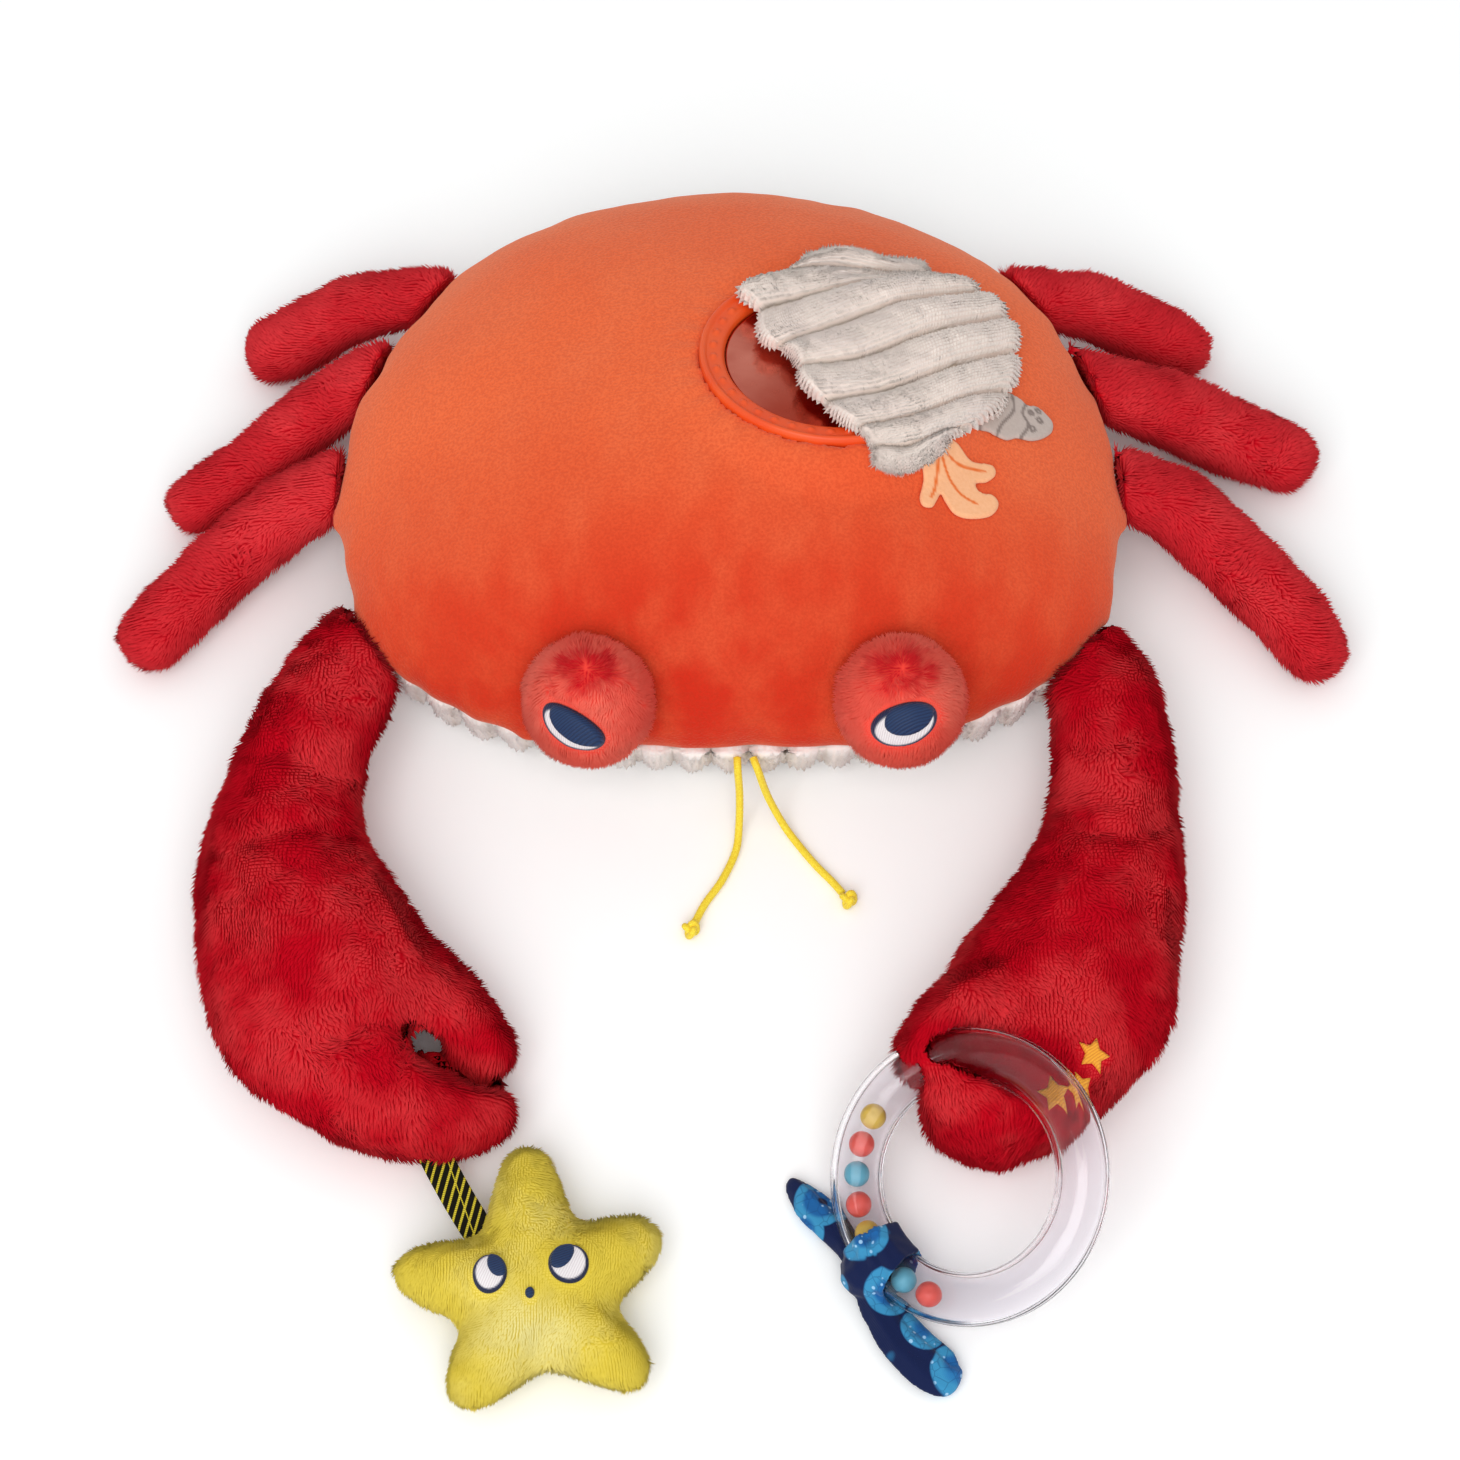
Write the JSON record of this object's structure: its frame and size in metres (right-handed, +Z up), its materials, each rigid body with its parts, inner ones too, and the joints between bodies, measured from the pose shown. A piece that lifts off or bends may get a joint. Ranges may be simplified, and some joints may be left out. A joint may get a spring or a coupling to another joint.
{
  "type": "plush toy crab",
  "caption": "Stuffed crab activity toy with velour body, ribbed belly, peekaboo mirror, knotted cords, starfish pendant and clear rattle ring.",
  "frame": {"origin": "on the floor, on the flat of the middle belly rib, under the middle of the body", "axes": "+X to the right seen from above with the eyes nearest the viewer, -Y the way the eyes and claws face, +Z up"},
  "size_m": [0.4085, 0.4382, 0.0975],
  "materials": {
    "velour": "short orange velour pile",
    "ribbed_cloth": "cream ribbed plush",
    "red_plush": "brushed red plush pile",
    "coral_plush": "brushed coral plush pile",
    "soft_plastic": "satin soft plastic with small raised dots",
    "mirror_film": "soft mirror film",
    "peach_felt": "printed felt",
    "grey_felt": "printed felt",
    "white_thread": "satin stitch embroidery",
    "navy_thread": "satin stitch embroidery",
    "yellow_thread": "satin stitch embroidery",
    "yellow_cord": "braided cord",
    "yellow_plush": "brushed yellow plush pile",
    "woven_strap": "woven tape, black with yellow diagonal stripes",
    "clear_plastic": "clear moulded plastic with a faint lilac tint",
    "printed_cloth": "navy cotton with printed blue discs",
    "yellow_bead": "gloss",
    "coral_bead": "gloss",
    "blue_bead": "gloss"
  },
  "bodies": {
    "root": {"bead_1": "yellow_bead", "bead_2": "coral_bead", "bead_3": "blue_bead", "bead_4": "coral_bead", "bead_5": "yellow_bead", "bead_6": "coral_bead", "bead_7": "blue_bead", "bead_8": "coral_bead", "belly": "ribbed_cloth", "body_top": "velour", "claw_star_1": "yellow_thread", "claw_star_2": "yellow_thread", "coral_patch": "peach_felt", "flap": "ribbed_cloth", "left_back_leg": "red_plush", "left_claw": "red_plush", "left_cord": "yellow_cord", "left_cord_knot": "yellow_cord", "left_eye_stalk": "coral_plush", "left_eye_white": "white_thread", "left_front_leg": "red_plush", "left_iris": "navy_thread", "left_middle_leg": "red_plush", "mirror_disc": "mirror_film", "mirror_frame": "soft_plastic", "rattle_ring_lower_half": "clear_plastic", "rattle_ring_upper_half": "clear_plastic", "right_back_leg": "red_plush", "right_claw": "red_plush", "right_cord": "yellow_cord", "right_cord_knot": "yellow_cord", "right_eye_stalk": "coral_plush", "right_eye_white": "white_thread", "right_front_leg": "red_plush", "right_iris": "navy_thread", "right_middle_leg": "red_plush", "ring_tie": "printed_cloth", "shell_patch": "grey_felt", "star_strap": "woven_strap", "starfish": "yellow_plush", "starfish_left_eye_white": "white_thread", "starfish_left_pupil": "navy_thread", "starfish_mouth": "navy_thread", "starfish_right_eye_white": "white_thread", "starfish_right_pupil": "navy_thread"}
  },
  "joints": []
}
